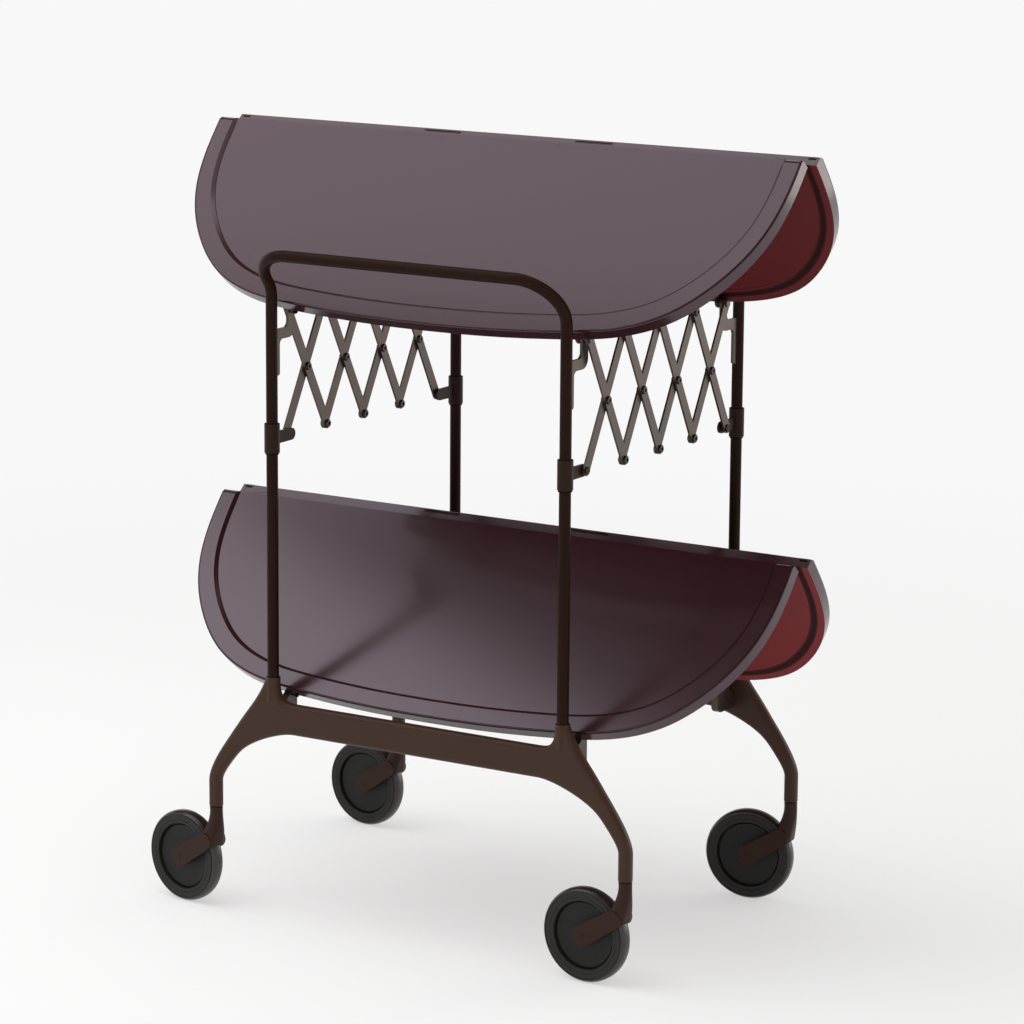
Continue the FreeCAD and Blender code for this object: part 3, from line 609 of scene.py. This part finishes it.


# fittings at the ridge of each half, flat: dark slots of painted shade in its end face, thin dark sheets for
# the shadow in the hinge slots, with a lip below and above, fillers of the pockets in its top, blocks at its
# ends, and dark slots of painted shade with a lip below the back half's blocks, for the shadow in the recess
# of the rim's end
ridge = {"hingeX": 91.0, "width": 45.0, "sink": 0.6,
         "slotHeight": 19.6, "slotRise": 1.7, "slotProud": 0.08, "slotRound": 0.05,
         "lip": 0.7, "lipProud": 0.3, "lipRound": 0.12,
         "pocketStart": 4.4, "pocketEnd": 6.2, "pocketDepth": 1.5, "pocketShort": 0.1, "pocketRound": 0.04,
         "play": 0.02, "floorTop": 22.7,
         "blockInner": {"front": 327.5, "back": 333.5}, "blockOuter": 347.2, "blockStart": 1.3,
         "blockEnd": 9.0, "blockLow": 21.0, "blockTop": 24.2, "blockRound": 1.2,
         "tongueInner": 335.5, "tongueOuter": 344.5, "tongueLow": 18.6, "tongueRise": 2.2,
         "tongueProud": 0.1, "tongueLip": 0.8}


# The soft boxes of one half, each as its lowest and highest corner, its rounding and its finish's number.
def ridgeBoxes(end):
    face = trayHalf["gap"]
    inside, lipFace = face + ridge["sink"], face - ridge["lipProud"]
    boxes = []
    for sign in (-1, 1):
        left = sign * ridge["hingeX"] - ridge["width"] / 2
        right = left + ridge["width"]
        low = ridge["slotHeight"] - ridge["slotRise"] / 2
        high = low + ridge["slotRise"]
        # painted shade: a thin dark sheet just proud of the end face stands for the shadow in a hinge slot
        boxes.append(((left, face - ridge["slotProud"], low), (right, inside, high), ridge["slotRound"], 1))
        for lipLow, lipHigh in ((low - ridge["lip"], low), (high, high + ridge["lip"])):
            boxes.append(((left, lipFace, lipLow), (right, inside, lipHigh), ridge["lipRound"], 0))
        short, play, top = ridge["pocketShort"], ridge["play"], ridge["floorTop"]
        boxes.append(((left + short, ridge["pocketStart"] + play, top - ridge["pocketDepth"]),
                      (right - short, ridge["pocketEnd"] - play, top - play), ridge["pocketRound"], 0))
        left, right = sorted((sign * ridge["blockInner"][end], sign * ridge["blockOuter"]))
        boxes.append(((left, ridge["blockStart"], ridge["blockLow"]),
                      (right, ridge["blockEnd"], ridge["blockTop"]), ridge["blockRound"], 0))
    for sign in (-1, 1) if end == "back" else ():
        left, right = sorted((sign * ridge["tongueInner"], sign * ridge["tongueOuter"]))
        low, wider = ridge["tongueLow"], ridge["tongueLip"]
        high = low + ridge["tongueRise"]
        # painted shade: a thin dark sheet for the shadow in the recess under the back half's rim end
        boxes.append(((left, face - ridge["tongueProud"], low), (right, inside, high), ridge["slotRound"], 1))
        boxes.append(((left - wider, lipFace, high), (right + wider, inside, high + ridge["lip"]),
                      ridge["lipRound"], 0))
    return boxes


# Each half's boxes, hung at the ridge as one piece.
def makeRidge():
    for level, end in halves:
        shells = []
        for low, high, cut, mark in ridgeBoxes(end):
            points, triangles = softBox(low, high, cut)
            shells.append((hang(points, level, end), triangles, mark))
        addPiece(level + "_" + end + "_ridge", shells, ["panel_" + level + "_" + end, "seam_shadow"],
                 level + "_" + end + "_half", "box")


# small screws: two through each ear's flange, two through each hinge leaf, two through each lower bracket
smallScrew = {"radius": 2.5, "rise": 1.3, "sink": 0.3, "edge": 0.4, "socket": 1.1, "socketDepth": 0.7,
              "steps": 24, "earX": 163.0, "earPlaces": (210.5, 219.5), "earHeight": 9.4,
              "leafX": (76.0, 106.0), "leafAway": 8.8, "leafHeight": 9.2,
              "bracketX": 180.2, "bracketY": 156.5, "bracketHeights": (228.5, 214.5)}


# A head under a tray half, at its place in the flat half, looking down, as a shell.
def headUnder(size, x, away, height, level, end):
    points, triangles = screwHead(size)
    return hang(points * (1, 1, -1) + (x, away, height), level, end), triangles, 0


# The same places on the left and the right of the trolley, on every half and then on both end frames.
def makeSmallScrews():
    size = smallScrew
    for level, end in halves:
        heads = [headUnder(size, sign * size["earX"], away, size["earHeight"], level, end)
                 for sign in (-1, 1) for away in size["earPlaces"]]
        heads += [headUnder(size, sign * x, size["leafAway"], size["leafHeight"], level, end)
                  for sign in (-1, 1) for x in size["leafX"]]
        addPiece(level + "_" + end + "_screws", heads, ["dark_steel"], level + "_" + end + "_half",
                 "screw")
    for end, way in endWay.items():
        heads = [headOnSide(size, sign * size["bracketX"], way * size["bracketY"], height, sign)
                 for sign in (-1, 1) for height in size["bracketHeights"]]
        addPiece(end + "_bracket_screws", heads, ["dark_steel"], end + "_frame", "screw")


makeRidge()
makeSmallScrews()
print("ridge fittings made")

# the room, in metres: a pale floor that fades into a white air, which is dim above where it is mirrored
studio = {"floorSize": 14.0, "floorWhite": 0.9, "floorBlue": 0.997, "white": 0.939, "fade": (0.5, 2.6),
          "paleShare": 0.52, "worldLight": 0.58, "dimFrom": (0.25, 0.5), "dimLight": 0.04}
white = (1.0, 1.0, 1.0, 1.0)


# The floor is paper to the lamps. To the camera and to mirrors it is that paper mixed with a white glow,
# whose share goes smoothly from the pale share near the trolley to 1 far from it.
def makeFloor():
    half = studio["floorSize"] / 2
    corners = [(-half, -half, 0), (half, -half, 0), (half, half, 0), (-half, half, 0)]
    mesh = bpy.data.meshes.new("studio_floor")
    mesh.from_pydata(corners, [], [(0, 1, 2, 3)])
    floor = bpy.data.objects.new("studio_floor", mesh)
    bpy.context.scene.collection.objects.link(floor)
    material, wire = newMaterial("floor_paper")
    place = wire.make("ShaderNodeTexCoord", output="Object")
    distance = wire.make("ShaderNodeVectorMath", {"operation": "LENGTH"}, {0: place}, "Value")
    far = wire.make("ShaderNodeMapRange", {"interpolation_type": "SMOOTHSTEP"},
                    {"Value": distance, "From Min": studio["fade"][0], "From Max": studio["fade"][1]})
    camera = wire.make("ShaderNodeLightPath", output="Is Camera Ray")
    glossy = wire.make("ShaderNodeLightPath", output="Is Glossy Ray")
    seen = wire.maths("MAXIMUM", camera, glossy)
    level = studio["floorWhite"]
    paper = wire.make("ShaderNodeBsdfDiffuse", None,
                      {"Color": (level, level, level * studio["floorBlue"], 1)})
    glow = wire.make("ShaderNodeEmission", None, {"Color": white, "Strength": studio["white"]})
    share = seen * (studio["paleShare"] + far * (1 - studio["paleShare"]))
    closeMaterial(wire, wire.make("ShaderNodeMixShader", None, {0: share, 1: paper, 2: glow}))
    mesh.materials.append(material)


# The air lights the trolley at one strength. Seen directly, mirrored or through something clear it is white
# instead, and where it is mirrored it turns dim as its direction's Z goes from one limit to the other.
def makeWorld():
    world = bpy.data.worlds.new("studio_air")
    bpy.context.scene.world = world
    world.use_nodes = True
    world.node_tree.nodes.clear()
    wire = Wire(world.node_tree)
    camera = wire.make("ShaderNodeLightPath", output="Is Camera Ray")
    glossy = wire.make("ShaderNodeLightPath", output="Is Glossy Ray")
    clear = wire.make("ShaderNodeLightPath", output="Is Transmission Ray")
    seen = wire.maths("MAXIMUM", wire.maths("MAXIMUM", camera, glossy), clear)
    light, shown, dim = (
        wire.make("ShaderNodeBackground", None, {"Color": white, "Strength": studio[strength]})
        for strength in ("worldLight", "white", "dimLight"))
    way = wire.make("ShaderNodeTexCoord", output="Generated")
    upward = wire.make("ShaderNodeSeparateXYZ", None, {0: way}, "Z")
    high = wire.make("ShaderNodeMapRange", {"interpolation_type": "SMOOTHSTEP"},
                     {"Value": upward, "From Min": studio["dimFrom"][0], "From Max": studio["dimFrom"][1]})
    shown = wire.make("ShaderNodeMixShader", None, {0: high * glossy, 1: shown, 2: dim})
    mixed = wire.make("ShaderNodeMixShader", None, {0: seen, 1: light, 2: shown})
    wire.make("ShaderNodeOutputWorld", None, {"Surface": mixed})


# soft lamps, in watts and metres: a broad key and fill that gloss doesn't mirror, three above that the trays
# mirror, and a warm one that picks out edges from behind
lamps = {
    "key_light": {"power": 27.5, "size": (3.0, 3.0), "place": (-0.9, -0.9, 3.2), "target": (0, 0, 0.4)},
    "upper_soft_light": {"power": 9.5, "size": (1.8, 1.0), "place": (-0.85, -0.2, 2.0),
                         "target": (-0.85, -0.2, 0), "mirrored": True},
    "lower_soft_light": {"power": 13.6, "size": (1.9, 0.9), "place": (-1.46, -1.29, 2.0),
                         "target": (-1.46, -1.29, 0), "mirrored": True, "turn": -25},
    "rim_soft_light": {"power": 1.5, "size": (1.8, 0.32), "place": (0.34, 0.0, 2.0),
                       "target": (0.34, 0.0, 0), "mirrored": True, "turn": -47},
    "fill_light": {"power": 12.0, "size": (2.4, 2.4), "place": (3.2, -0.6, 2.0), "target": (0, 0, 0.4)},
    "edge_light": {"power": 30.0, "size": (2.2, 2.2), "place": (2.3, 3.3, 1.15), "target": (0, 0, 0.5),
                   "mirrored": True, "colour": (1.0, 0.94, 0.86)},
}


# A flat lamp at its place that looks at its target, turned about that line.
def makeLamp(name, power, size, place, target, mirrored=False, turn=0.0, colour=(1, 1, 1)):
    light = bpy.data.lights.new(name, "AREA")
    light.color = colour
    light.energy = power
    light.shape = "RECTANGLE"
    light.size, light.size_y = size
    lamp = bpy.data.objects.new(name, light)
    bpy.context.scene.collection.objects.link(lamp)
    lamp.location = place
    lamp.visible_glossy = mirrored
    lamp.visible_camera = False
    lamp.rotation_mode = "QUATERNION"
    aim = (Vector(target) - Vector(place)).to_track_quat("-Z", "Y")
    lamp.rotation_quaternion = aim @ Quaternion((0, 0, 1), math.radians(turn))


makeFloor()
makeWorld()
for name, lamp in lamps.items():
    makeLamp(name, **lamp)

# the camera, its place in metres; azimuth and elevation are the direction from the trolley to it
viewpoint = {"lens": 140.82, "sensor": 36.0, "clip": (0.1, 60.0), "place": (2.15477, -3.46392, 1.26652),
             "azimuth": -58.1925, "elevation": 11.6515, "roll": 0.4268}


# The camera's turns, from the last to the first: about the upright by the azimuth and a right angle, about
# X by a right angle less the elevation, and about its own line of sight by the roll.
def makeCamera():
    data = bpy.data.cameras.new("photo_camera")
    data.lens = viewpoint["lens"]
    data.sensor_width = viewpoint["sensor"]
    data.clip_start, data.clip_end = viewpoint["clip"]
    camera = bpy.data.objects.new("photo_camera", data)
    bpy.context.scene.collection.objects.link(camera)
    about = Quaternion((0, 0, 1), math.radians(viewpoint["azimuth"] + rightAngle))
    tip = Quaternion((1, 0, 0), math.radians(rightAngle - viewpoint["elevation"]))
    roll = Quaternion((0, 0, 1), math.radians(viewpoint["roll"]))
    turned = (about @ tip @ roll).to_matrix().to_4x4()
    camera.matrix_world = Matrix.Translation(viewpoint["place"]) @ turned
    bpy.context.scene.camera = camera


makeCamera()
bpy.context.scene.view_settings.view_transform = "Standard"
print("studio set")
